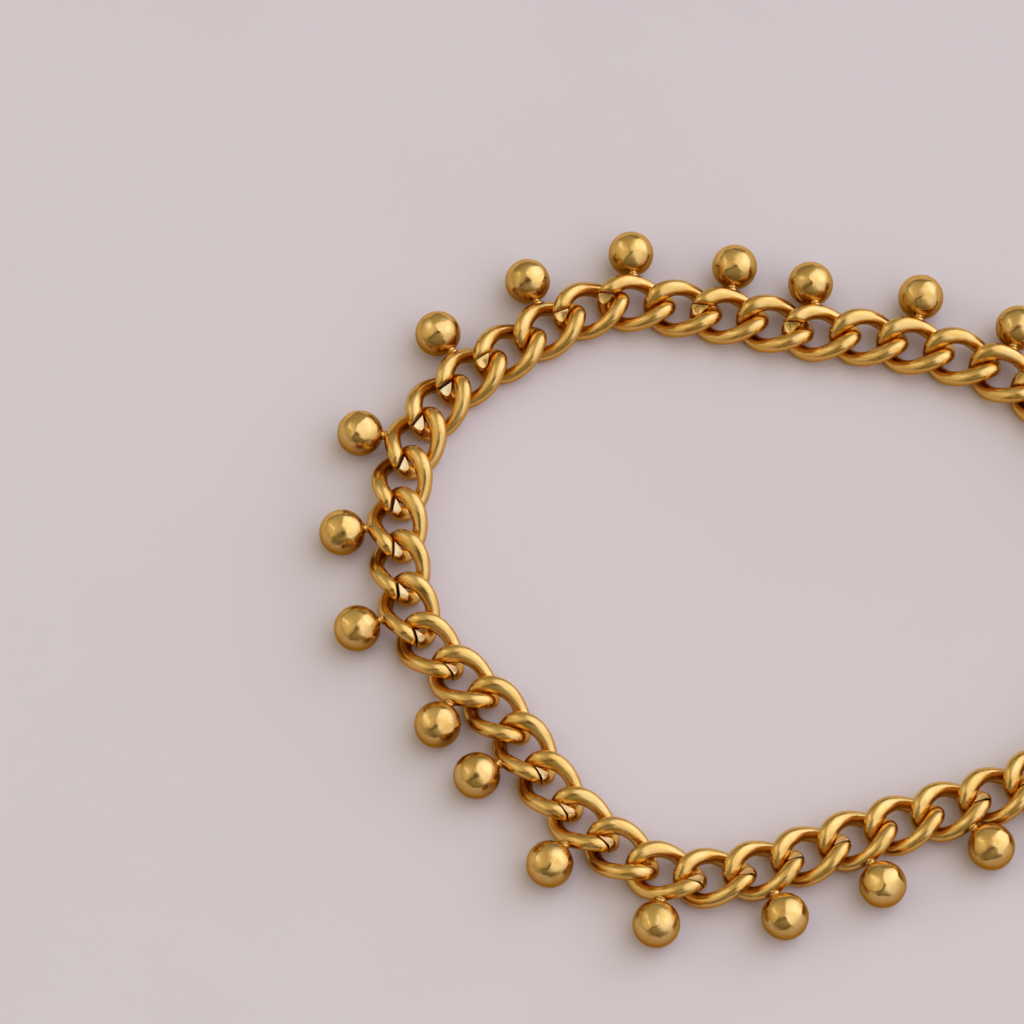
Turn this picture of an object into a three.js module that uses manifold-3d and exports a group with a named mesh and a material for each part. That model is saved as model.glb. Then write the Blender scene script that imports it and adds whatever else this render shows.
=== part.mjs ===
// A chain bracelet, closed and lying on a flat surface: a curb chain of round brass wire,
// gold plated, with a ball soldered to the outer side of every second link, and a clasp.
// Lengths are in millimetres and angles in degrees. Z is up, and the surface is at Z = 0.
//
// A curb link is an oval of wire whose two ends are turned out of flat in opposite ways, so
// that each link nests in the next and the whole chain lies flat. In a link's own frame, +X
// points along the chain, +Y to the inside of the loop and -Y to the outside.

import * as THREE from 'three';
import { mergeVertices } from 'three/addons/utils/BufferGeometryUtils.js';
import Module from 'manifold-3d';

// Driving dimensions.
const pitch = 4.2; // from one link to the next
const wireDiameter = 1.3;
const linkLength = 7.1; // outside
const linkWidth = 5.3; // outside
const endTwist = 50; // turn of each end out of flat
const ovalPower = 2.3; // 2 is an ellipse, more has fuller corners
const ballDiameter = 4;
const ballReach = 4.85; // from the middle of the link to the middle of its ball
const pegDiameter = 0.8;
const roll = 5.2; // the balls are thicker than the chain and hold its outer side up
const linkCount = 43;
const claspLength = 12.2; // outside
const claspWidth = 6.2; // outside, without the barrel's swell
const claspFlatness = 1.5; // a link has 1 and turns evenly, more has a flatter middle
const barrel = { length: 6.4, diameter: 2.3 };
const lever = { along: 0.9, out: 1.2, height: 0.5, diameter: 1.3 };

// Facets.
const wireSides = 7;
const stepsRoundLink = 14;
const stepsRoundClasp = 18;
const pegSides = 5;

const gold = { color: 0xd9a441, roughness: 0.28, metalness: 1 };

// The chain's line, seen from above, through points on it. It starts at the middle of the
// clasp and goes anticlockwise. The loop is laid down loosely, with a few soft kinks.
const route = [
  [55.5, -8.5], [54.9, -0.9], [50.7, 8.0], [42.9, 14.5], [35.2, 17.1], [27.5, 18.3],
  [23.2, 18.5], [19.3, 20.0], [15.2, 20.0], [11.1, 21.0], [6.9, 20.7], [2.7, 18.2],
  [-0.8, 15.5], [-4.3, 13.4], [-8.2, 8.0], [-9.9, 1.0], [-9.5, -6.0], [-7.7, -12.3],
  [-4.2, -15.9], [-0.7, -19.0], [1.6, -22.5], [4.7, -27.4], [9.1, -31.3], [13.6, -34.0],
  [19.5, -33.8], [25.4, -31.8], [31.5, -29.4], [37.5, -27.3], [43.4, -25.1],
  [48.8, -21.4], [53.0, -16.1],
];

// How far each ball leans forward along the chain, from the first ball to the last.
const ballLeans = [
  4, 9, 16, 7, 15, 2, 11, -11, -1, 14, 11, 7, 14, 2, 6, 5, 3, 4, 24, 3, 8,
];

const wasm = await Module();
wasm.setup();

function toSolid(geometry) {
  const bare = geometry.clone();
  bare.deleteAttribute('normal');
  bare.deleteAttribute('uv');
  const merged = mergeVertices(bare, 1e-4);
  const mesh = new wasm.Mesh({
    numProp: 3,
    vertProperties: new Float32Array(merged.attributes.position.array),
    triVerts: new Uint32Array(merged.index.array),
  });
  return new wasm.Manifold(mesh);
}

function toGeometry(solid) {
  const mesh = solid.getMesh();
  const geometry = new THREE.BufferGeometry();
  geometry.setAttribute('position', new THREE.BufferAttribute(mesh.vertProperties, 3));
  geometry.setIndex(new THREE.BufferAttribute(mesh.triVerts, 1));
  geometry.computeVertexNormals();
  return geometry;
}

// The middle line of the wire of a link, or of the clasp, which is a longer link.
class TwistedOval extends THREE.Curve {
  constructor(length, width, flatness) {
    super();
    this.halfLength = length / 2;
    this.halfWidth = width / 2;
    this.flatness = flatness;
  }

  getPoint(t, target = new THREE.Vector3()) {
    const turn = 2 * Math.PI * t;
    const along = power(Math.cos(turn), 2 / ovalPower);
    const across = this.halfWidth * power(Math.sin(turn), 2 / ovalPower);
    const twist = -THREE.MathUtils.degToRad(endTwist) * power(along, this.flatness);
    return target.set(
      this.halfLength * along,
      across * Math.cos(twist),
      across * Math.sin(twist),
    );
  }
}

// A power that keeps the sign of its base.
function power(value, exponent) {
  return Math.sign(value) * Math.abs(value) ** exponent;
}

function wireRing(length, width, flatness, steps) {
  const line = new TwistedOval(length - wireDiameter, width - wireDiameter, flatness);
  return toSolid(new THREE.TubeGeometry(line, steps, wireDiameter / 2, wireSides, true));
}

// The ball and its peg stand on the outer flank, and lean forward along the chain.
function ballOnPeg(lean) {
  const flank = (linkWidth - wireDiameter) / 2;
  const pegLength = ballReach - flank;
  const peg = new THREE.CylinderGeometry(
    pegDiameter / 2, pegDiameter / 2, pegLength, pegSides,
  );
  peg.translate(0, -flank - pegLength / 2, 0);
  const ball = new THREE.IcosahedronGeometry(ballDiameter / 2, 1);
  ball.translate(0, -ballReach, 0);
  const forward = THREE.MathUtils.degToRad(lean);
  return toSolid(peg.rotateZ(forward)).add(toSolid(ball.rotateZ(forward)));
}

// The clasp is one closed loop with a thicker barrel on its outer side and a thumb lever.
function claspSolid() {
  const loop = wireRing(claspLength, claspWidth, claspFlatness, stepsRoundClasp);
  const flank = (claspWidth - wireDiameter) / 2;
  const swell = new THREE.SphereGeometry(barrel.diameter / 2, 8, 6);
  swell.rotateZ(Math.PI / 2);
  swell.scale(barrel.length / barrel.diameter, 1, 1);
  swell.translate(0, -flank, 0);
  const thumb = new THREE.CylinderGeometry(
    lever.diameter / 2, lever.diameter / 2, lever.height + barrel.diameter / 2, 8,
  );
  thumb.rotateX(Math.PI / 2);
  thumb.translate(lever.along, -flank - lever.out, 0);
  return loop.add(toSolid(swell)).add(toSolid(thumb));
}

// The joints between the links, one pitch apart along the line. The clasp takes what is left.
function jointsAlong(points) {
  const corners = points.map(([x, y]) => new THREE.Vector3(x, y, 0));
  const line = new THREE.CatmullRomCurve3(corners, true, 'catmullrom', 0.5);
  line.arcLengthDivisions = 100 * points.length;
  const total = line.getLength();
  const claspShare = total - linkCount * pitch;
  const joints = [];
  for (let i = 0; i <= linkCount; i += 1) {
    joints.push(line.getPointAt((claspShare / 2 + i * pitch) / total));
  }
  return joints;
}

// Lays a piece between two joints, turned along the chain and rolled outer side up, so that
// its lowest point is on the surface.
function lay(name, solid, from, to) {
  const mesh = new THREE.Mesh(toGeometry(solid), new THREE.MeshStandardMaterial(gold));
  mesh.name = name;
  const step = new THREE.Vector3().subVectors(to, from);
  mesh.rotation.set(-THREE.MathUtils.degToRad(roll), 0, Math.atan2(step.y, step.x), 'ZYX');
  mesh.position.addVectors(from, to).multiplyScalar(0.5);
  mesh.position.z = -solid.rotate([-roll, 0, 0]).boundingBox().min[2];
  return mesh;
}

const joints = jointsAlong(route);
const ring = wireRing(linkLength, linkWidth, 1, stepsRoundLink);
const bracelet = new THREE.Group();

for (let i = 0; i < linkCount; i += 1) {
  const number = String(i + 1).padStart(2, '0');
  const hasBall = i % 2 === 1;
  const name = hasBall ? `ball_link_${number}` : `link_${number}`;
  const solid = hasBall ? ring.add(ballOnPeg(ballLeans[(i - 1) / 2])) : ring;
  bracelet.add(lay(name, solid, joints[i], joints[i + 1]));
}

bracelet.add(lay('clasp', claspSolid(), joints[linkCount], joints[0]));

// The origin is on the surface, under the middle of the bracelet.
const box = new THREE.Box3().setFromObject(bracelet, true);
const middle = box.getCenter(new THREE.Vector3());
bracelet.position.set(-middle.x, -middle.y, -box.min.z);

export default bracelet;
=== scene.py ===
# %% [markdown]
# # Dressing a gold chain bracelet
#
# The packed model already holds the bracelet at its real size: 43 curb links, a ball on every
# second link, and a clasp. Its wire has only seven sides, so this lesson makes each piece
# again with a fine surface, gives it a gold finish, and lights it. Every fine piece stands
# exactly where its plain one stands, so nothing has to be fitted.

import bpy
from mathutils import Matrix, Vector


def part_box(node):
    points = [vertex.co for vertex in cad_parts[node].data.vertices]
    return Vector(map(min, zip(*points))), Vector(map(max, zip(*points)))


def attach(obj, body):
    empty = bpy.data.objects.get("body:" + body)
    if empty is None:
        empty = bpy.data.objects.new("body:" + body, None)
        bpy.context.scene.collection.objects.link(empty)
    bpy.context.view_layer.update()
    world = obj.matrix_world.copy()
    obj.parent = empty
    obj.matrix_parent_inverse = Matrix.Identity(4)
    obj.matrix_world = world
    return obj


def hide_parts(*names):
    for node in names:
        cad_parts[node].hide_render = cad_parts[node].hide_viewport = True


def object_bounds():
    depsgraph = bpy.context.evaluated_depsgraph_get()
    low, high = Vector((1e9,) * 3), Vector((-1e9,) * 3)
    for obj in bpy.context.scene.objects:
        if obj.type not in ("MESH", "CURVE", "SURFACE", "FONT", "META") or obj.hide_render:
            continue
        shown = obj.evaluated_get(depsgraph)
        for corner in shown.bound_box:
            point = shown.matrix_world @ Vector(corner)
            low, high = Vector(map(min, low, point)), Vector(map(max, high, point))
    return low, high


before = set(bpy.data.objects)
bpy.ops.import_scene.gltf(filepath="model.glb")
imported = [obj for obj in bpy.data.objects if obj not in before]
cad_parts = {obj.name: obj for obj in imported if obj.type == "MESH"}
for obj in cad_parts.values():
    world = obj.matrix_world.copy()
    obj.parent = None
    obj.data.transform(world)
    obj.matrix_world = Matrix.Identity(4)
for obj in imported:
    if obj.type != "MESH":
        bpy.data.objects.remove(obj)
cad_low, cad_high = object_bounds()
box_sides = [round(side * 1000, 2) for side in cad_high - cad_low]
print(len(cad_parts), "plain pieces in a box of", box_sides, "mm")

# %% Helpers from outside
import math
import random

import bmesh
import bpy
import numpy as np
from mathutils import Euler, Matrix, Vector
from mathutils.bvhtree import BVHTree
from mathutils.kdtree import KDTree

# %% [markdown]
# ## The sizes that everything else comes from
#
# A curb link is an oval of wire, turned out of flat by half a right angle or so at each end,
# in opposite ways. That turn is what lets the links nest and the chain lie flat. Blender
# works in metres, so each size is written in millimetres and multiplied once.

# %% Sizes
MM = 0.001
PITCH = 4.2 * MM
WIRE = 1.3 * MM
LINK_LENGTH = 7.1 * MM
LINK_WIDTH = 5.3 * MM
END_TWIST = math.radians(50)
OVAL_POWER = 2.3
BALL = 4.0 * MM
BALL_REACH = 4.85 * MM
ROLL = math.radians(5.2)
LINK_COUNT = 43
CLASP_LENGTH = 12.2 * MM
CLASP_WIDTH = 6.2 * MM
CLASP_FLATNESS = 1.5
print("wire", round(WIRE / MM, 2), "mm, links", LINK_COUNT, "at", round(PITCH / MM, 2), "mm")

# %% [markdown]
# ## The line that the chain lies on
#
# The chain was laid down loosely, so its line has soft kinks. A smooth closed curve through
# a few points gives it. Catmull and Rom's curve is used because it passes through its points
# and each stretch needs only the four points around it.

# %% Points on the chain's line, from above
ROUTE = MM * np.array([
    [55.5, -8.5], [54.9, -0.9], [50.7, 8.0], [42.9, 14.5], [35.2, 17.1], [27.5, 18.3],
    [23.2, 18.5], [19.3, 20.0], [15.2, 20.0], [11.1, 21.0], [6.9, 20.7], [2.7, 18.2],
    [-0.8, 15.5], [-4.3, 13.4], [-8.2, 8.0], [-9.9, 1.0], [-9.5, -6.0], [-7.7, -12.3],
    [-4.2, -15.9], [-0.7, -19.0], [1.6, -22.5], [4.7, -27.4], [9.1, -31.3], [13.6, -34.0],
    [19.5, -33.8], [25.4, -31.8], [31.5, -29.4], [37.5, -27.3], [43.4, -25.1],
    [48.8, -21.4], [53.0, -16.1],
])

# How far each ball leans forward along the chain, in degrees, from the first ball on.
BALL_LEANS = [4, 9, 16, 7, 15, 2, 11, -11, -1, 14, 11, 7, 14, 2, 6, 5, 3, 4, 24, 3, 8]


# %% A smooth closed curve, cut into equal steps
def smooth_loop(points, steps_between=100):
    """Points on the closed Catmull-Rom curve, the first one repeated at the end."""
    share = np.arange(steps_between)[:, None] / steps_between
    stretches = []
    for i in range(len(points)):
        before, start, end, after = (points[(i + k) % len(points)] for k in (-1, 0, 1, 2))
        leave, arrive = (end - before) / 2, (after - start) / 2
        cubic = 2 * start - 2 * end + leave + arrive
        square = -3 * start + 3 * end - 2 * leave - arrive
        stretches.append(((cubic * share + square) * share + leave) * share + start)
    return np.vstack(stretches + [points[:1]])


def distance_along(line):
    """How far along the line each of its points is."""
    return np.concatenate([[0], np.cumsum(np.linalg.norm(np.diff(line, axis=0), axis=1))])


chain_line = smooth_loop(ROUTE)
chain_travel = distance_along(chain_line)
clasp_share = chain_travel[-1] - LINK_COUNT * PITCH
joint_travel = clasp_share / 2 + PITCH * np.arange(LINK_COUNT + 1)
joints = np.stack(
    [np.interp(joint_travel, chain_travel, chain_line[:, k]) for k in (0, 1)], axis=1,
)
print("loop", round(chain_travel[-1] / MM, 1), "mm; the clasp takes", round(clasp_share / MM, 1), "mm")

# %% [markdown]
# ## Agreeing with the packed model
#
# The packed model moved the loop so that its middle is at the origin. A plain link is the
# same from both ends, so the middle of its box is the middle between its two joints. The
# mean of that over all the plain links gives the move, and the spread shows how well the
# two agree.

# %% Move the line to where the packed model has it
plain_links = [f"link_{i + 1:02d}" for i in range(0, LINK_COUNT, 2)]
box_middles = np.array(
    [[sum(corner[k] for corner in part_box(name)) / 2 for k in (0, 1)] for name in plain_links],
)
own_middles = (joints[0:-1:2] + joints[1::2]) / 2
moves = box_middles - own_middles
move = moves.mean(axis=0)
joints = joints + move
spread = np.abs(moves - move).max()
print("moved by", np.round(move / MM, 3), "mm, spread", round(spread / MM, 3), "mm")


# %% [markdown]
# ## The middle line of a link's wire
#
# A superellipse has fuller corners than an ellipse, as a link bent round a flat mandrel has.
# Its points are turned about the chain's direction, more towards the ends. The same turn
# gives the direction that the link's flat face looks in, and that keeps the wire's own
# section steady all the way round.


# %% The twisted oval
SPARE_TURN = math.radians(40)
LINE_POINTS = 4801


def signed_power(value, exponent):
    return np.sign(value) * np.abs(value) ** exponent


def twisted_oval(turn, length, width, flatness=1.0):
    """Points on the wire's middle line, and where the face looks, for angles round the oval."""
    along = signed_power(np.cos(turn), 2 / OVAL_POWER)
    across = width / 2 * signed_power(np.sin(turn), 2 / OVAL_POWER)
    twist = -END_TWIST * signed_power(along, flatness)
    line = np.stack([length / 2 * along, across * np.cos(twist), across * np.sin(twist)], axis=1)
    face = np.stack([0 * twist, -np.sin(twist), np.cos(twist)], axis=1)
    return line, face


def unit(vectors):
    return vectors / np.linalg.norm(vectors, axis=-1, keepdims=True)


class WireLine:
    """The middle line of a bent wire, once round the oval and a little further both ways."""

    def __init__(self, start, length, width, flatness=1.0):
        turn = start + np.linspace(-SPARE_TURN, 2 * math.pi + SPARE_TURN, LINE_POINTS)
        self.line, self.face = twisted_oval(turn, length, width, flatness)
        travel = distance_along(self.line)
        begin, end = np.interp([start, start + 2 * math.pi], turn, travel)
        self.travel = travel - begin
        self.total = end - begin
        self.heading = np.gradient(self.line, self.travel, axis=0)

    def at(self, travel):
        """The middle, and the directions out of the link and up, at distances along the wire."""
        middle, heading, face = (
            np.stack([np.interp(travel, self.travel, values[:, k]) for k in range(3)], axis=-1)
            for values in (self.line, self.heading, self.face)
        )
        out = unit(np.cross(heading, face))
        return middle, out, unit(np.cross(out, heading))


link_line = WireLine(0, LINK_LENGTH - WIRE, LINK_WIDTH - WIRE)
print("one link takes", round(link_line.total / MM, 2), "mm of wire")

# %% [markdown]
# ## The surface of a link's wire
#
# Wire thickens a little on the inside of a tight bend. That closes most of the play between
# one link and the next, as it does on a chain that lies stretched. The two high parts of a
# link are broader still, because a curb chain is pressed flat once it is twisted. Drawn wire
# isn't quite even either, so two slow waves along it change its thickness by under 2%.

# %% The wire's surface
BEND_THICKENS = 0.13
BEND_POWER = 6
SHOULDER_WIDENS = 0.10
SHOULDER_POWER = 4
SHOULDER_SLOPE = 3
PRESS_WIDENS = 0.42

# Each wave: its height as a share of the radius, and how it turns per mm and per phase.
WAVES = [(0.008, 1.1, 1), (0.006, 2.7, 2)]


def wire_surface(wire, travel, angle, phase, pressed):
    """Points on the wire at distances along it and angles round it, outside first."""
    middle, out, up = wire.at(travel)
    steps = travel / MM
    wave = sum((high * np.sin(turn * steps + k * phase) for high, turn, k in WAVES), start=1)
    along = middle[..., 0] / ((LINK_LENGTH - WIRE) / 2)
    across = middle[..., 1] / ((LINK_WIDTH - WIRE) / 2)
    at_end = BEND_THICKENS * np.abs(along) ** BEND_POWER
    at_shoulder = np.clip(SHOULDER_SLOPE * np.abs(across), 0, 1)
    at_shoulder = SHOULDER_WIDENS * along ** SHOULDER_POWER * at_shoulder

    # On an ellipse, along times across is minus a half in the middle of a high part.
    at_high_part = np.clip(-2 * along * across, 0, 1)
    wider = at_end + at_shoulder + pressed * at_high_part
    sideways = np.cos(angle) * np.where(np.cos(angle) < 0, 1 + wider, 1)
    section = out * sideways[..., None] + up * np.sin(angle)[..., None]
    return middle, WIRE / 2 * wave[..., None] * section


# %% [markdown]
# ## The cut ends
#
# A link is a cut length of wire bent round until its two ends meet, at the link's front
# end. On most links of this chain the ends are not soldered. One is pinched by the nippers
# to a blunt nose. On the far side of a dark slit the other is nipped off at a slant, which
# shows as a small pale plate. The mesh is made the same way: each line along the wire ends
# where it reaches a cut, and a cap closes both ends. So the slit is real and casts its own
# shadow. On a few links the ends were closed tight before the gold plating, which covers
# the plate. On a dozen links nothing of a cut shows, because it is soldered shut or lies
# under the next link. Their wire is one closed ring.

# %% Where each line along the wire ends
WIRE_SIDES = 28
side_angles = np.linspace(0, 2 * math.pi, WIRE_SIDES, endpoint=False)

# The slit: how wide it is and how far across the link, each from least to most, how much
# it narrows for each step down, and how narrow it may get.
SLIT = (0.10 * MM, 0.20 * MM)
SLIT_ACROSS = (-0.62 * MM, -0.22 * MM)
SLIT_NARROWS = 0.35
SLIT_LEAST = 0.03 * MM

# The plate: how high it is above the wire's middle line at the slit, and its slope.
PLATE_RISE = 0.50 * MM
PLATE_TILT = -0.55

# The stretch of wire that is searched for the cuts, counted from the wire's start.
NEAR_CUT = np.linspace(-1.2, 2.4, 361) * MM


def first_above(level, travel):
    """The travel at which each side line's level first rises above nought."""
    side = np.arange(WIRE_SIDES)
    i = np.maximum(np.argmax(level > 0, axis=0), 1)
    before, after = level[i - 1, side], level[i, side]
    share = np.clip(before / (before - after), 0, 1)
    return travel[i - 1] + (travel[i] - travel[i - 1]) * share


def cut_lines(wire, slit, across, phase, pressed):
    """The travel at which each side line starts and ends, and the height of the plate."""
    travel = NEAR_CUT[:, None] + 0 * side_angles
    middle, section = wire_surface(wire, travel, side_angles + 0 * travel, phase, pressed)
    points = middle + section
    plate_height = np.interp(across, middle[:, 0, 1], middle[:, 0, 2]) + PLATE_RISE
    past, up = points[..., 1] - across, points[..., 2] - plate_height

    # The slit narrows downwards, and the plate falls away from it.
    closed = np.clip(-SLIT_NARROWS * up, 0, slit - SLIT_LEAST)
    past_slit, below_plate = past - slit / 2 + closed, PLATE_TILT * past - up
    starts = np.maximum(first_above(past_slit, NEAR_CUT), first_above(below_plate, NEAR_CUT))
    return starts, wire.total + first_above(past + slit / 2, NEAR_CUT), plate_height


print("slits are", " to ".join(f"{width / MM:.2f}" for width in SLIT), "mm wide")


# %% Pinch a wire's end
NIP_LENGTH = 0.25 * MM
NIPPED_STATIONS = 20

# What the nippers leave of the wire at its very end, forwards and up.
NOSE_LEAVES = (0.80, 0.46)
PLATE_LEAVES = (0.86, 1.0)


def front_middle(wire, across):
    """Where the wire's middle line is, forwards and up, at places across the front end."""
    front = wire.line[:len(wire.line) // 4]
    return [np.interp(across, front[:, 1], front[:, k]) for k in (0, 2)]


def nip(points, wire, cut_at, leaves_of_both):
    """Pinches a wire's end, forwards and up, where it comes close to its cut."""
    away = np.clip(np.abs(points[..., 1] - cut_at) / NIP_LENGTH, 0, 1)
    rounding = np.sqrt(1 - (1 - away) ** 2)
    nipped = points.copy()
    for k, middle, leaves in zip((0, 2), front_middle(wire, points[..., 1]), leaves_of_both):
        nipped[..., k] = middle + (points[..., k] - middle) * (leaves + (1 - leaves) * rounding)
    return nipped


print("the nose keeps", NOSE_LEAVES, "of the wire, and the plate", PLATE_LEAVES)


# %% Faces round a tube and over its ends
WIRE_FINISH, CUT_FINISH, BALL_FINISH = 0, 1, 2


def tube_faces(rings, sides, closed):
    """Four-sided faces between neighbouring rings, looking outwards."""
    faces = []
    for ring in range(rings if closed else rings - 1):
        here, there = ring * sides, (ring + 1) % rings * sides
        for side in range(sides):
            step = (side + 1) % sides
            faces.append((here + side, there + side, there + step, here + step))
    return faces


def end_faces(rings, sides, first_middle, last_middle):
    """Three-sided faces that close both ends of an open tube, each end about a middle point."""
    faces = []
    final_ring = (rings - 1) * sides
    for side in range(sides):
        step = (side + 1) % sides
        faces.append((first_middle, side, step))
        faces.append((last_middle, final_ring + step, final_ring + side))
    return faces


print("a ring of wire has", len(tube_faces(2, WIRE_SIDES, closed=False)), "faces")


# %% Make a link whose cut shows
CUT_STARTS = math.radians(-12)
WIRE_STATIONS = 120
LEAN_FADES = 2.4 * MM
TIGHT_LINKS = {5, 10, 12, 14, 15, 17}
TIGHT_SHARE = 0.4

# How far from a cut its nearest stations are, and how thick the plate's first two are, to
# round the cut's edge off.
EDGE_TRAVEL = np.array([0.0, 0.02, 0.06, 0.12, 0.20, 0.30, 0.42]) * MM
EDGE_SHRINK = np.array([0.95, 0.985])

# How many mm past the slit the nose's flank counts as, for the finish of the cuts.
FLANK_SHOWS = 0.048


def stations(total, starts, stops):
    """Distances along the wire for every station and side line, leaning to fit both cuts."""
    inner = np.linspace(EDGE_TRAVEL[-1], total - EDGE_TRAVEL[-1], WIRE_STATIONS)[1:-1]
    even = np.concatenate([EDGE_TRAVEL, inner, total - EDGE_TRAVEL[::-1]])[:, None]
    near_start = np.clip(1 - even / LEAN_FADES, 0, 1)
    near_stop = np.clip(1 - (total - even) / LEAN_FADES, 0, 1)
    return even + starts * near_start + (stops - total) * near_stop


def brush_marks(angle, travel):
    """A vector for every point that goes round the wire and along it, for the brush lines."""
    return np.stack([np.cos(angle), np.sin(angle), travel / MM], axis=2).reshape(-1, 3)


def cut_link(i, pressed):
    """The points, faces, marks and finish numbers of a fine link whose cut shows."""
    dice = random.Random(i)
    wire = WireLine(CUT_STARTS, LINK_LENGTH - WIRE, LINK_WIDTH - WIRE)
    slit, across = dice.uniform(*SLIT), dice.uniform(*SLIT_ACROSS)
    is_tight = i + 1 in TIGHT_LINKS
    slit *= TIGHT_SHARE if is_tight else 1
    phase = dice.uniform(0, 2 * math.pi)
    starts, stops, plate_height = cut_lines(wire, slit, across, phase, pressed)
    travel = stations(wire.total, starts, stops)
    angle = side_angles + 0 * travel
    middle, section = wire_surface(wire, travel, angle, phase, pressed)
    section[:2] *= EDGE_SHRINK[:, None, None]
    points = middle + section
    points[-NIPPED_STATIONS:] = nip(points[-NIPPED_STATIONS:], wire, across - slit / 2, NOSE_LEAVES)
    points[:NIPPED_STATIONS] = nip(points[:NIPPED_STATIONS], wire, across + slit / 2, PLATE_LEAVES)
    points = points.reshape(-1, 3)
    faces = tube_faces(len(travel), WIRE_SIDES, closed=False)
    finish = [WIRE_FINISH] * len(faces)
    finish += [WIRE_FINISH if is_tight else CUT_FINISH, CUT_FINISH] * WIRE_SIDES

    # The first end's middle point is at the plate's near edge, on the crest of the wire.
    near_edge = across + slit / 2
    crest, _ = front_middle(wire, near_edge)
    plate_end = np.array([crest, near_edge, plate_height + PLATE_TILT * slit / 2])
    flank_end = points[-WIRE_SIDES:].mean(axis=0)
    faces += end_faces(len(travel), WIRE_SIDES, len(points), len(points) + 1)
    points = np.vstack([points, plate_end, flank_end])
    brush = np.vstack([brush_marks(angle, travel), [0, 0, 0], [0, 0, wire.total / MM]])

    # The second end is all flank: its ring lies before the two middle points.
    shows = (points[:, 1] - near_edge) / MM
    shows[-2 - WIRE_SIDES:-2] = FLANK_SHOWS
    shows[-1] = FLANK_SHOWS
    return points, faces, {"brush": brush, "shows": shows}, finish


cut_points, cut_faces, _, _ = cut_link(0, PRESS_WIDENS)
print("a fine link has", len(cut_points), "points and", len(cut_faces), "faces")


# %% Make a closed link
RING_STARTS = math.radians(35)
CLOSED_LINKS = {6, 7, 8, 9, 11, 13, 16, 26, 27, 31, 36, 37}


def closed_link(i, pressed):
    """The same of a fine link that is one closed ring, with its start under the next link."""
    phase = random.Random(i).uniform(0, 2 * math.pi)
    wire = WireLine(RING_STARTS, LINK_LENGTH - WIRE, LINK_WIDTH - WIRE)
    travel = np.linspace(0, wire.total, WIRE_STATIONS, endpoint=False)[:, None] + 0 * side_angles
    angle = side_angles + 0 * travel
    middle, section = wire_surface(wire, travel, angle, phase, pressed)
    points = (middle + section).reshape(-1, 3)
    faces = tube_faces(WIRE_STATIONS, WIRE_SIDES, closed=True)
    marks = {"brush": brush_marks(angle, travel), "shows": np.ones(len(points))}
    return points, faces, marks, [WIRE_FINISH] * len(faces)


def wire_link(i, pressed):
    """One fine link by its place in the chain, counted from nought."""
    return (closed_link if i + 1 in CLOSED_LINKS else cut_link)(i, pressed)


print("closed links:", sorted(CLOSED_LINKS))

# %% [markdown]
# ## A ball on its solder peg
#
# The ball is turned metal with a short thick neck that is soldered to the link's outer
# flank. One outline spun about the neck's axis makes both, as a lathe would. A worn ball
# isn't a perfect sphere, so a few shallow dents are pressed into its points: a polished
# surface shows each one as a kink in the reflection.

# %% The outline of a ball and its neck
BALL_SIDES = 72
BALL_RINGS = 52
NECK = 0.38 * MM
NECK_FILLET = 0.13 * MM
FILLET_RINGS = 6
NECK_SHARES = (0.35, 0.7, 1.0)

# The neck widens to its foot, which sinks into the wire and ends short of its middle.
FOOT = 0.47 * MM
FOOT_SINKS = 0.06 * MM
FOOT_ENDS = 0.1 * MM


def ball_outline(reach_to_wire):
    """Distance along the axis from the ball's middle, and distance out from it."""
    radius = BALL / 2
    fillet_out = NECK + NECK_FILLET
    fillet_along = math.sqrt((radius + NECK_FILLET) ** 2 - fillet_out ** 2)
    meets = math.atan2(fillet_out, -fillet_along)
    turns = np.linspace(0, meets, BALL_RINGS)[1:]
    outline = [(-radius * math.cos(turn), radius * math.sin(turn)) for turn in turns]
    fillet_from = math.atan2(-fillet_out, -fillet_along)
    for turn in np.linspace(fillet_from, -math.pi / 2, FILLET_RINGS)[1:]:
        along = fillet_along + NECK_FILLET * math.cos(turn)
        outline.append((along, fillet_out + NECK_FILLET * math.sin(turn)))
    foot_along = reach_to_wire - WIRE / 2 + FOOT_SINKS
    for share in NECK_SHARES:
        along = fillet_along + (foot_along - fillet_along) * share
        outline.append((along, NECK + (FOOT - NECK) * share ** 2))
    outline.append((reach_to_wire - FOOT_ENDS, FOOT))
    return outline


neck_shows = BALL_REACH - BALL / 2 - LINK_WIDTH / 2
print("a neck", round(2 * NECK / MM, 2), "mm thick shows for", round(neck_shows / MM, 2), "mm")


# %% Dents, and the ball itself
DENTS = 10
DENTS_FADE = 0.01

# From least to most: how broad a dent is, as an angle, and how deep, as a share of the radius.
DENT_SIZE = (0.25, 0.6)
DENT_DEPTH = (0.002, 0.010)


def press_dents(direction, dice):
    """How far each point of the ball is pressed in, as a share of its radius."""
    pressed = np.zeros(len(direction))
    for _ in range(DENTS):
        towards = unit(np.array([dice.gauss(0, 1) for _ in range(3)]))
        away = np.arccos(np.clip(direction @ towards, -1, 1))
        size, depth = dice.uniform(*DENT_SIZE), dice.uniform(*DENT_DEPTH)
        pressed += depth * np.exp(-((away / size) ** 2))
    return pressed


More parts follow.
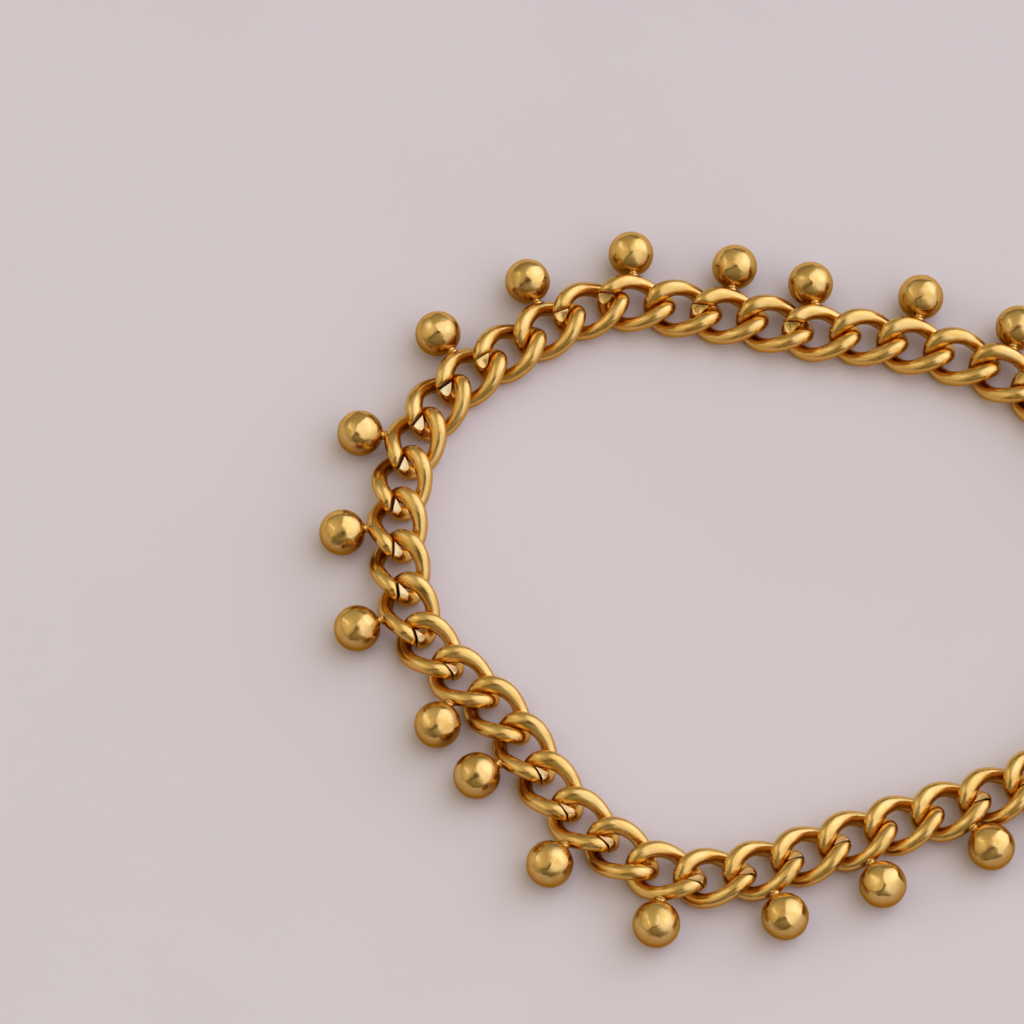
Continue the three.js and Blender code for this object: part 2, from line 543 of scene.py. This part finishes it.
def ball_on_neck(middle, wire_point, seed):
    """The points, faces and finish numbers of a ball whose neck reaches into the wire."""
    axis = wire_point - middle
    reach = np.linalg.norm(axis)
    outline = np.array(ball_outline(reach))
    across = unit(np.cross(axis, [0.0, 0.0, 1.0]))
    upward = unit(np.cross(across, axis))
    axis = axis / reach
    angle = np.linspace(0, 2 * math.pi, BALL_SIDES, endpoint=False)
    spokes = np.cos(angle)[:, None] * across + np.sin(angle)[:, None] * upward
    local = outline[:, :1, None] * axis + outline[:, 1:, None] * spokes[None]
    local = np.vstack([local.reshape(-1, 3), [-BALL / 2 * axis], [outline[-1, 0] * axis]])
    direction = unit(local)
    faded_at = (0.5 + DENTS_FADE) * BALL
    on_ball = np.clip((faded_at - np.linalg.norm(local, axis=1)) / (DENTS_FADE * BALL), 0, 1)
    pressed = press_dents(direction, random.Random(seed)) * on_ball
    local = local * (1 - pressed)[:, None]
    faces = tube_faces(len(outline), BALL_SIDES, closed=False)
    faces += end_faces(len(outline), BALL_SIDES, len(local) - 2, len(local) - 1)
    return local + middle, faces, [BALL_FINISH] * len(faces)


# %% Where the neck meets the wire
OUTER_FLANK = np.radians(np.linspace(-150, -30, 2001))


def wire_point_at(lean):
    """Where the wire's middle line crosses the ball's direction, on the outer flank."""
    line, _ = twisted_oval(OUTER_FLANK, LINK_LENGTH - WIRE, LINK_WIDTH - WIRE)
    bearing = np.arctan2(line[:, 0], -line[:, 1])
    return np.array([np.interp(lean, bearing, line[:, k]) for k in range(3)])


steepest = math.radians(max(BALL_LEANS))
print("the neck that leans most meets the wire at", np.round(wire_point_at(steepest) / MM, 2), "mm")

# %% [markdown]
# ## From numbers to solid pieces
#
# Marks on the wire's points travel with the mesh as named attributes, and the materials read
# them. Ball and link are soldered, so they become one solid by a union. A union makes new
# points and can mix up the marks of old ones, so each point of the new solid takes the marks
# of the wire's nearest point.


# %% Build a mesh with marks
def write_marks(mesh, marks):
    """Stores each mark, a number or a vector for every point, as an attribute."""
    for mark, values in marks.items():
        vector = np.ndim(values) == 2
        attribute = mesh.attributes.new(mark, "FLOAT_VECTOR" if vector else "FLOAT", "POINT")
        attribute.data.foreach_set("vector" if vector else "value", np.ravel(values).astype(np.float32))


def make_object(name, points, faces, materials, finish=None):
    """A mesh in the scene, with its materials and the finish number of each face."""
    mesh = bpy.data.meshes.new(name)
    mesh.from_pydata(points.tolist(), [], faces)
    for material in materials:
        mesh.materials.append(material)
    mesh.polygons.foreach_set("material_index", finish or [0] * len(faces))
    made = bpy.data.objects.new(name, mesh)
    bpy.context.scene.collection.objects.link(made)
    return made


# %% Solder two pieces into one
def take_shape(piece):
    """Replaces a piece's mesh by what its modifiers make of it."""
    bpy.context.view_layer.update()
    made = piece.evaluated_get(bpy.context.evaluated_depsgraph_get())
    piece.data = bpy.data.meshes.new_from_object(made)
    piece.modifiers.clear()


def solder(link, ball):
    """Makes the link and the ball one solid, and removes the ball's own object."""
    union = link.modifiers.new("solder", "BOOLEAN")
    union.operation = "UNION"
    union.solver = "EXACT"
    union.object = ball
    take_shape(link)
    bpy.data.objects.remove(ball)


def nearest_indices(piece, points):
    """For each point of a piece, which of the given points is nearest."""
    tree = KDTree(len(points))
    for index, point in enumerate(points):
        tree.insert(point, index)
    tree.balance()
    return [tree.find(vertex.co)[1] for vertex in piece.data.vertices]


# %% [markdown]
# ## Writing a finish as arithmetic
#
# A material is a small sum about the surface: so much roughness, plus a little where the
# brush lines are. Writing it as a sum is easier to read than wiring nodes by name, so one
# small class stands for a socket and adds the Math nodes when Python adds or multiplies.


# %% Sockets that can be added and multiplied
class Amount:
    """One output of a node, with Python's arithmetic."""

    def __init__(self, recipe, socket):
        self.recipe = recipe
        self.socket = socket

    def math(self, operation, first, second):
        return self.recipe.node("ShaderNodeMath", {"operation": operation}, {0: first, 1: second})

    def __add__(self, other):
        return self.math("ADD", self, other)

    def __radd__(self, other):
        return self.math("ADD", other, self)

    def __sub__(self, other):
        return self.math("SUBTRACT", self, other)

    def __rsub__(self, other):
        return self.math("SUBTRACT", other, self)

    def __mul__(self, other):
        return self.math("MULTIPLY", self, other)

    def __rmul__(self, other):
        return self.math("MULTIPLY", other, self)


print("a socket can be added and multiplied")


# %% Nodes from one method, and what is built on it
EDGE_TINT = (1.0, 0.74, 0.38, 1)
UPWARDS = (0, 0, 1)
FLATS_MEET_SOFTLY = 0.25


class Recipe:
    """A node tree being written, for a material or for the world."""

    def __init__(self, owner):
        owner.use_nodes = True
        self.tree = owner.node_tree
        self.tree.nodes.clear()

    def node(self, kind, settings=None, inputs=None, output=0):
        """Adds one node: its settings first, then the values or links of its sockets."""
        made = self.tree.nodes.new(kind)
        for name, value in (settings or {}).items():
            if name == "stops":
                self.set_stops(made.color_ramp, value)
            else:
                setattr(made, name, value)
        for name, value in (inputs or {}).items():
            if isinstance(value, Amount):
                self.tree.links.new(value.socket, made.inputs[name])
            else:
                made.inputs[name].default_value = value
        return Amount(self, made.outputs[output]) if len(made.outputs) else None

    @staticmethod
    def set_stops(ramp, stops):
        while len(ramp.elements) < len(stops):
            ramp.elements.new(1.0)
        for element, (place, level) in zip(ramp.elements, stops):
            element.position = place
            element.color = (level, level, level, 1)

    def ramp(self, amount, *stops):
        """Maps an amount through stretches between the stops."""
        return self.node("ShaderNodeValToRGB", {"stops": stops}, {"Fac": amount})

    def blend(self, share, first, second):
        """A colour between two colours."""
        sockets = {0: share, 6: first, 7: second}
        return self.node("ShaderNodeMix", {"data_type": "RGBA"}, sockets, output=2)

    def stretch(self, vector, scales):
        """A vector with each part multiplied."""
        return self.node("ShaderNodeVectorMath", {"operation": "MULTIPLY"}, {0: vector, 1: scales})

    def facing(self, direction, towards):
        """How far a direction points towards another: 1 is straight at it, 0 is square to it."""
        sockets = {0: direction, 1: unit(np.array(towards)).tolist()}
        return self.node("ShaderNodeVectorMath", {"operation": "DOT_PRODUCT"}, sockets, output=1)

    def noise(self, vector, scale, detail=2.0, roughness=0.5):
        """Soft random amounts around a half."""
        sockets = {"Vector": vector, "Scale": scale, "Detail": detail, "Roughness": roughness}
        return self.node("ShaderNodeTexNoise", {}, sockets)

    def flats(self, vector, scale):
        """The distance to the nearest of many scattered places."""
        sockets = {"Vector": vector, "Scale": scale, "Smoothness": FLATS_MEET_SOFTLY}
        return self.node("ShaderNodeTexVoronoi", {"feature": "SMOOTH_F1"}, sockets)

    def mark(self, name, vector=False):
        """A number or a vector that the mesh carries at its points."""
        settings = {"attribute_name": name, "attribute_type": "GEOMETRY"}
        return self.node("ShaderNodeAttribute", settings, {}, output=1 if vector else 2)

    def metal(self, tone, roughness, relief, depth):
        """Ends a metal's recipe: its colour, its roughness, and a relief some metres deep."""
        bump = self.node("ShaderNodeBump", {}, {"Strength": 1.0, "Distance": depth, "Height": relief})
        surface = self.node("ShaderNodeBsdfPrincipled", {}, {
            "Base Color": tone, "Metallic": 1.0, "Roughness": roughness, "Normal": bump,
            "Specular Tint": EDGE_TINT,
        })
        self.node("ShaderNodeOutputMaterial", {}, {"Surface": surface})

    def painted_side_shade(self, tone, side_shade_tone, from_slope=0.15, to_slope=0.75):
        """Painted shade: one tone where the surface looks up, and a darker one on its sides."""
        normal = self.node("ShaderNodeNewGeometry", output=1)
        slopes = (from_slope, 0.0), (to_slope, 1.0)
        return self.blend(self.ramp(self.facing(normal, UPWARDS), *slopes), side_shade_tone, tone)


print("a recipe can", [word for word in vars(Recipe) if not word.startswith("_")])

# %% [markdown]
# ## Satin gold for the wire
#
# Gold plate over drawn brass wire: the drawing and tumbling leave fine lines that run
# lengthwise, so highlights are soft across the wire and a little streaky along it. The
# brush attribute goes round and along the wire, so noise that is squeezed round it and
# stretched along it gives such lines without a picture. A metal's colour is the colour of
# what it reflects once. Two links reflect each other, which squares it to a deep amber.
# The sides are painted that amber too, as painted shade that deepens as they turn from up.

# %% The wire's finish
GOLD = (0.94, 0.65, 0.235, 1)
DEEP_GOLD = (0.84, 0.53, 0.145, 1)
# Painted shade: the amber that the sides of the wire and the clasp are painted with.
PAINTED_SHADE_AMBER = (0.66, 0.34, 0.064, 1)
CLOUD_STOPS = (0.35, 0.0), (0.65, 1.0)

# How fine each noise is: two numbers round the wire, and one along it for each mm.
LINES = (4.5, 4.5, 0.45)
SCRATCHES = (12.0, 12.0, 1.6)
CLOUDS = (1.4, 1.4, 0.8)
BRUSHED_DEEP = 0.017 * MM


def plated_tone(recipe, clouds):
    """Gold in two soft tones, with amber painted on its sides as painted shade."""
    tone = recipe.blend(recipe.ramp(clouds, *CLOUD_STOPS), GOLD, DEEP_GOLD)
    return recipe.painted_side_shade(tone, PAINTED_SHADE_AMBER)


def satin_wire():
    material = bpy.data.materials.new("satin_gold_wire")
    recipe = Recipe(material)
    brush = recipe.mark("brush", vector=True)
    lines = recipe.noise(recipe.stretch(brush, LINES), 1.0, detail=5.0, roughness=0.6)
    scratches = recipe.noise(recipe.stretch(brush, SCRATCHES), 1.0)
    clouds = recipe.noise(recipe.stretch(brush, CLOUDS), 1.0)
    roughness = 0.08 + lines * 0.14 + clouds * 0.04
    relief = lines + scratches * 0.6 + clouds
    recipe.metal(plated_tone(recipe, clouds), roughness, relief, BRUSHED_DEEP)
    return material


satin_gold_wire = satin_wire()
print(satin_gold_wire.name, "has", len(satin_gold_wire.node_tree.nodes), "nodes")


# %% [markdown]
# ## Bare cuts
#
# The cutters leave a grainy face with no polish on it, so it is paler and duller than the
# wire. In the slit it is painted almost black, a painted shade deeper than the slit's own
# shadow. The shows mark says how many millimetres a point of a cut lies past the slit, and

# %% The finish of the cut ends
PALE_GOLD = (0.98, 0.82, 0.46, 1)
PAINTED_SLIT_SHADE = (0.05, 0.025, 0.01, 1)
DARK_UNTIL = 0.015
PALE_FROM = 0.07
CUT_DEEP = 0.03 * MM


def bare_cut():
    material = bpy.data.materials.new("bare_cut_gold")
    recipe = Recipe(material)
    grain = recipe.noise(recipe.mark("brush", vector=True), 7.0)
    past_slit = recipe.mark("shows") + grain * 0.03
    # Painted shade: the cut faces in the slit are painted near black.
    painted_shade_share = recipe.ramp(past_slit, (DARK_UNTIL, 1.0), (PALE_FROM, 0.0))
    tone = recipe.blend(painted_shade_share, PALE_GOLD, PAINTED_SLIT_SHADE)
    recipe.metal(tone, 0.34 + grain * 0.2, grain, CUT_DEEP)
    return material


bare_cut_gold = bare_cut()
print(bare_cut_gold.name, "is dark for", DARK_UNTIL, "mm and pale from", PALE_FROM, "mm")


# %% [markdown]
# ## Polished gold for the balls
#
# The balls were barrel polished before they were soldered on, so they are smoother than
# the wire. A mirror with nothing on it looks computed, so there is a little haze in
# patches, and a fine grain. In the barrel the balls knocked against each other, which left
# broad faint flats. The square of the distance to scattered places, as a relief, undoes a
# part of the ball's roundness about each place, and the reflections get a kink where two
# flats meet.

# %% The balls' finish
# Painted shade: the brown gold that the sides of each ball are painted with.
PAINTED_SHADE_BROWN = (0.42, 0.19, 0.028, 1)
HAZE_STOPS = (0.4, 0.0), (0.7, 1.0)
BALL_SLOPES = (0.05, 0.85)

# How many times each noise and the flats repeat, roughly, in a millimetre.
HAZE = 1.1
DINGS = 2.6
GRAIN = 8.0
FLATS = 0.8
DINGS_DEEP = 0.13 * MM


def place_in_mm(recipe):
    """Where the surface is, in millimetres."""
    return recipe.stretch(recipe.node("ShaderNodeTexCoord", output=3), [1 / MM] * 3)


def polished_ball():
    material = bpy.data.materials.new("polished_gold_ball")
    recipe = Recipe(material)
    place = place_in_mm(recipe)
    dings = recipe.noise(place, DINGS, detail=3.0)
    patches = recipe.ramp(recipe.noise(place, HAZE, detail=3.0), *HAZE_STOPS)
    # Painted shade: each ball turns brown gold on its sides as they look away from up.
    tone = recipe.painted_side_shade(recipe.blend(patches, GOLD, DEEP_GOLD), PAINTED_SHADE_BROWN, *BALL_SLOPES)
    flats = recipe.flats(place, FLATS)
    relief = flats * flats + dings * 0.12 + recipe.noise(place, GRAIN) * 0.06
    recipe.metal(tone, 0.15 + patches * 0.09, relief, DINGS_DEEP)
    return material


# Their order is that of the finish numbers that the faces carry.
link_finishes = [satin_gold_wire, bare_cut_gold, polished_ball()]
print("finishes:", [material.name for material in link_finishes])

# %% [markdown]
# ## Laying every link
#
# Each piece is made lying along X and is then rolled, turned along the chain and moved to
# the middle between its two joints, in its own mesh. Each lies where its lowest point just
# touches the surface.

# %% How a piece is laid
ROLLED = Euler((-ROLL, 0, 0)).to_matrix()
SHARP_FROM = math.radians(36)


def lying_height(points):
    """How high a piece's middle is when its lowest point is on the surface."""
    return -(points @ np.array(ROLLED).T)[:, 2].min()


def place_between(start, end, points):
    """The move that rolls a piece outer side up and lays it between two joints."""
    heading = math.atan2(end[1] - start[1], end[0] - start[0])
    place = Matrix.Translation((*((start + end) / 2), lying_height(points)))
    return place @ Matrix.Rotation(heading, 4, "Z") @ ROLLED.to_4x4()


def finish_piece(piece, node):
    """Soft shading, and its place in the table of pieces."""
    piece.data.shade_smooth()
    piece.data.set_sharp_from_angle(angle=SHARP_FROM)
    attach(piece, "root")
    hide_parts(node)


print("the middle of a link lies", round(lying_height(cut_points) / MM, 3), "mm up")

# %% [markdown]
# ## As broad as the neighbours allow
#
# Where the chain's line turns, neighbouring links come closer. Every link starts equally
# broad. Wherever two of them would cut into each other, both are made again a little
# narrower, until none do. A chain that has been worn settles in much the same way.

# %% Fit the wires to each other
PRESS_STEP = 0.03


def wire_in_place(i, pressed):
    """A link's wire, where it lies, and a tree of its faces that finds crossings."""
    wire = wire_link(i, pressed)
    place = place_between(joints[i], joints[i + 1], wire[0])
    laid = [place @ Vector(point) for point in wire[0]]
    return wire, place, BVHTree.FromPolygons(laid, wire[1])


pressed = [PRESS_WIDENS] * LINK_COUNT
wires = [wire_in_place(i, pressed[i]) for i in range(LINK_COUNT)]
while True:
    cross = [i for i in range(1, LINK_COUNT) if wires[i][2].overlap(wires[i - 1][2])]
    if not cross:
        break
    for i in sorted({k for i in cross for k in (i - 1, i)}):
        pressed[i] -= PRESS_STEP
        wires[i] = wire_in_place(i, pressed[i])
print("links are pressed by", round(min(pressed), 2), "to", max(pressed))

# %% Make all the links
BRUSH_SHIFT = 40
BALL_SEED = 100


def make_link(i):
    """One link in its place, with its ball if it has one."""
    number = f"{i + 1:02d}"
    has_ball = i % 2 == 1
    node = f"ball_link_{number}" if has_ball else f"link_{number}"
    (points, faces, marks, finish), place, _ = wires[i]
    marks["brush"][:, 2] += BRUSH_SHIFT * i
    piece = make_object(f"gold_{node}", points, faces, link_finishes, finish)
    if has_ball:
        lean = math.radians(BALL_LEANS[i // 2])
        middle = BALL_REACH * np.array([math.sin(lean), -math.cos(lean), 0])
        ball = ball_on_neck(middle, wire_point_at(lean), BALL_SEED + i)
        solder(piece, make_object(f"ball_{number}", *ball[:2], link_finishes, ball[2]))
        nearest = nearest_indices(piece, points)
        marks = {mark: values[nearest] for mark, values in marks.items()}
    write_marks(piece.data, marks)
    piece.data.transform(place)
    finish_piece(piece, node)
    return piece


links = [make_link(i) for i in range(LINK_COUNT)]
print(len(links), "links,", sum(len(link.data.polygons) for link in links), "faces")
lowest_point = min(vertex.co.z for link in links for vertex in link.data.vertices)
print("their lowest point is", round(lowest_point / MM, 3), "mm up")

# %% [markdown]
# ## The clasp
#
# The clasp lies on the far side. It is one plain cast piece: a longer loop with a thicker
# barrel on its outer side and a thumb lever. A casting has no sharp inner corners, so the
# three shapes are run together by a remesh and then relaxed a little, which leaves the soft
# fillets that a casting has.

# %% Make the clasp
BARREL_LENGTH = 6.4 * MM
BARREL = 2.3 * MM
LEVER_ALONG = 0.9 * MM
LEVER_OUT = 1.2 * MM
LEVER_HEIGHT = 0.5 * MM
LEVER = 1.3 * MM
CLASP_STATIONS = 240
BARREL_SIDES = 48
BARREL_RINGS = 32
LEVER_SIDES = 40
CAST_GRID = 0.09 * MM
RELAX_SHARE = 0.6
RELAX_TIMES = 6


def clasp_loop():
    """The points and faces of the clasp's closed loop of wire."""
    wire = WireLine(0, CLASP_LENGTH - WIRE, CLASP_WIDTH - WIRE, CLASP_FLATNESS)
    middle, out, up = wire.at(np.linspace(0, wire.total, CLASP_STATIONS, endpoint=False))
    outwards, upwards = np.cos(side_angles)[:, None], np.sin(side_angles)[:, None]
    points = middle[:, None] + WIRE / 2 * (out[:, None] * outwards + up[:, None] * upwards)
    return points.reshape(-1, 3), tube_faces(len(middle), WIRE_SIDES, closed=True)


def clasp_body():
    """The loop, barrel and lever, run together and relaxed."""
    body = make_object("gold_clasp", *clasp_loop(), [])
    shape = bmesh.new()
    shape.from_mesh(body.data)
    flank = (CLASP_WIDTH - WIRE) / 2
    barrel = Matrix.Translation((0, -flank, 0)) @ Matrix.Diagonal((BARREL_LENGTH / BARREL, 1, 1, 1))
    bmesh.ops.create_uvsphere(
        shape, u_segments=BARREL_SIDES, v_segments=BARREL_RINGS, radius=BARREL / 2, matrix=barrel,
    )
    place = Matrix.Translation((LEVER_ALONG, -flank - LEVER_OUT, 0))
    bmesh.ops.create_cone(
        shape, cap_ends=True, segments=LEVER_SIDES, radius1=LEVER / 2, radius2=LEVER / 2,
        depth=LEVER_HEIGHT + BARREL / 2, matrix=place @ Matrix.Rotation(math.pi / 2, 4, "X"),
    )
    shape.to_mesh(body.data)
    shape.free()
    cast = body.modifiers.new("cast", "REMESH")
    cast.mode = "VOXEL"
    cast.voxel_size = CAST_GRID
    relax = body.modifiers.new("relax", "SMOOTH")
    relax.factor = RELAX_SHARE
    relax.iterations = RELAX_TIMES
    take_shape(body)
    return body


clasp = clasp_body()
print("clasp:", len(clasp.data.polygons), "faces")


# %% The clasp's finish, and its place
CAST_GRAIN = 14.0
CAST_CLOUDS = 0.7
CAST_DEEP = 0.01 * MM


def cast_gold():
    """Satin gold with a fine even grain, as a tumbled casting has, and painted amber shade on its
    sides.
    """
    material = bpy.data.materials.new("cast_gold_clasp")
    recipe = Recipe(material)
    place = place_in_mm(recipe)
    grain = recipe.noise(place, CAST_GRAIN, detail=3.0)
    clouds = recipe.noise(place, CAST_CLOUDS)
    roughness = 0.14 + grain * 0.08 + clouds * 0.06
    recipe.metal(plated_tone(recipe, clouds), roughness, grain * 0.4 + clouds, CAST_DEEP)
    return material


clasp.data.materials.append(cast_gold())
clasp_points = np.array([vertex.co for vertex in clasp.data.vertices])
clasp.data.transform(place_between(joints[LINK_COUNT], joints[0], clasp_points))
finish_piece(clasp, "clasp")
print("the middle of the clasp lies", round(lying_height(clasp_points) / MM, 3), "mm up")

# %% [markdown]
# ## Do any two links cut into each other?
#
# On the real chain each link hangs in the next with some play. The fine wire is rounder
# than the plain one, so this is measured again here, on the fine meshes.


# %% Look for pieces that cross
def tree_of(piece):
    corners = [vertex.co for vertex in piece.data.vertices]
    return BVHTree.FromPolygons(corners, [face.vertices for face in piece.data.polygons])


loop = links + [clasp]
trees = [tree_of(piece) for piece in loop]
crossed = [loop[i].name for i in range(len(loop)) if trees[i].overlap(trees[i - 1])]
print("pieces that cross the one before:", crossed or "none")

# %% [markdown]
# ## Surface, light and camera
#
# A plain pale surface shows the soft shadow under the chain. Gold has hardly any colour of
# its own besides what it reflects, so the light matters as much as the finish: a broad
# window high on the right, a dimmer and warmer room round it, and a person who leans over
# the table. The person's arm and face give the small dark marks in every curved
# reflection, with a little warm light of their own. All of it is painted on the world,
# since a lamp's hard outline would show on the balls.

# %% The surface
FLOOR_SIDE = 1.6
PLASTER = (0.84, 0.79, 0.81, 1)
PALER_PLASTER = (0.94, 0.89, 0.91, 1)
PLASTER_CLOUDS = 18.0
PLASTER_GRAIN = 900.0
PLASTER_DEEP = 0.4 * MM


def pale_plaster():
    material = bpy.data.materials.new("pale_plaster")
    recipe = Recipe(material)
    place = recipe.node("ShaderNodeTexCoord", output=3)
    clouds = recipe.noise(place, PLASTER_CLOUDS, detail=5.0, roughness=0.6)
    relief = recipe.noise(place, PLASTER_GRAIN, detail=3.0) * 0.4 + clouds
    bump = recipe.node("ShaderNodeBump", {}, {
        "Strength": 0.1, "Distance": PLASTER_DEEP, "Height": relief,
    })
    surface = recipe.node("ShaderNodeBsdfPrincipled", {}, {
        "Base Color": recipe.blend(clouds, PLASTER, PALER_PLASTER), "Roughness": 0.75,
        "Normal": bump,
    })
    recipe.node("ShaderNodeOutputMaterial", {}, {"Surface": surface})
    return material


half = FLOOR_SIDE / 2
corners = np.array([[-half, -half, 0], [half, -half, 0], [half, half, 0], [-half, half, 0]])
floor = make_object("floor", corners, [(0, 1, 2, 3)], [pale_plaster()])
print("floor", FLOOR_SIDE, "m a side")

# %% Spots in the room
ROOM_STOPS = (0.0, 0.12), (0.35, 0.33), (1.0, 0.50)

# Each spot: where it is, how closely a direction faces it where it fades out and where it
# is full, and how much it lights up, or darkens where the person is.
SPOTS = {
    "far wall": ((-0.90, -0.10, 0.40), 0.60, 0.90, 0.28),
    "window": ((0.80, 0.05, 0.60), 0.50, 0.64, 0.61),
    "window's glow": ((0.76, 0.41, 0.49), 0.80, 0.97, 0.40),
    "person": ((-0.10, -0.85, 0.50), 0.80, 0.86, 0.22),
    "face": ((0.02, -0.45, 0.89), 0.976, 0.990, 0.93),
    "lamp": ((-0.74, 0.20, 0.64), 0.91, 0.96, 0.5),
    "arm": ((-0.40, -0.64, 0.60), 0.85, 0.93, 0.9),
}

# The two spots that are long and narrow: the direction across each, and its half width.
STREAKS = {
    "lamp": ((0.644, 0.473, 0.601), 0.11),
    "arm": ((0.62, -0.70, -0.354), 0.11),
}


def spot(recipe, direction, name):
    """How strong a spot, or a streak, is in a direction."""
    towards, fades, full, strength = SPOTS[name]
    level = recipe.ramp(recipe.facing(direction, towards), (fades, 0.0), (full, 1.0))
    if name in STREAKS:
        across, width = STREAKS[name]
        aside = recipe.facing(direction, across)
        level = level * recipe.ramp(aside * aside, (width ** 2 / 4, 1.0), (width ** 2, 0.0))
    return level * strength


print("spots:", list(SPOTS))


# %% The light of the room
DAYLIGHT = (0.96, 1.0, 1.34, 1)
ROOM_LIGHT = (1.0, 0.86, 0.61, 1)
SKIN_LIGHT = (1.0, 0.50, 0.20, 1)
SKIN_GLOWS = 0.06


def studio_world():
    """A dim room with a broad window, and darker where the person leans over."""
    world = bpy.data.worlds.new("studio")
    bpy.context.scene.world = world
    recipe = Recipe(world)
    direction = recipe.node("ShaderNodeTexCoord", output=0)
    level = {name: spot(recipe, direction, name) for name in SPOTS}
    room = recipe.ramp(recipe.facing(direction, UPWARDS), *ROOM_STOPS) + level["far wall"]
    window = level["window"] + level["window's glow"] + level["lamp"]
    skin_free = (1 - level["arm"]) * (1 - level["face"])
    unshaded = (1 - level["person"]) * skin_free
    light = None
    for colour, strength in (
        (ROOM_LIGHT, room * unshaded),
        (DAYLIGHT, window * unshaded),
        (SKIN_LIGHT, (1 - skin_free) * SKIN_GLOWS),
    ):
        glow = recipe.node("ShaderNodeBackground", {}, {"Color": colour, "Strength": strength})
        light = glow if light is None else recipe.node("ShaderNodeAddShader", {}, {0: light, 1: glow})
    recipe.node("ShaderNodeOutputWorld", {}, {"Surface": light})


studio_world()
print("a window towards", SPOTS["window"][0], "and a person towards", SPOTS["person"][0])

# %% The camera
CAMERA_HEIGHT_ANGLE = math.radians(63)
CAMERA_SIDE_ANGLE = math.radians(1.36)
CAMERA_DISTANCE = 452.6 * MM
CAMERA_VIEW_ANGLE = math.radians(11.2)
LOOK_AT = Vector((0.02 * MM + move[0], -0.05 * MM + move[1], 1.62 * MM))

camera_data = bpy.data.cameras.new("camera")
camera_data.angle = CAMERA_VIEW_ANGLE
camera = bpy.data.objects.new("camera", camera_data)
back = Vector((
    math.sin(CAMERA_SIDE_ANGLE) * math.cos(CAMERA_HEIGHT_ANGLE),
    -math.cos(CAMERA_SIDE_ANGLE) * math.cos(CAMERA_HEIGHT_ANGLE),
    math.sin(CAMERA_HEIGHT_ANGLE),
))
camera.location = LOOK_AT + back * CAMERA_DISTANCE
camera.rotation_euler = back.to_track_quat("Z", "Y").to_euler()
bpy.context.scene.collection.objects.link(camera)
bpy.context.scene.camera = camera
bpy.context.scene.view_settings.view_transform = "Standard"
print("camera at", [round(value, 3) for value in camera.location])
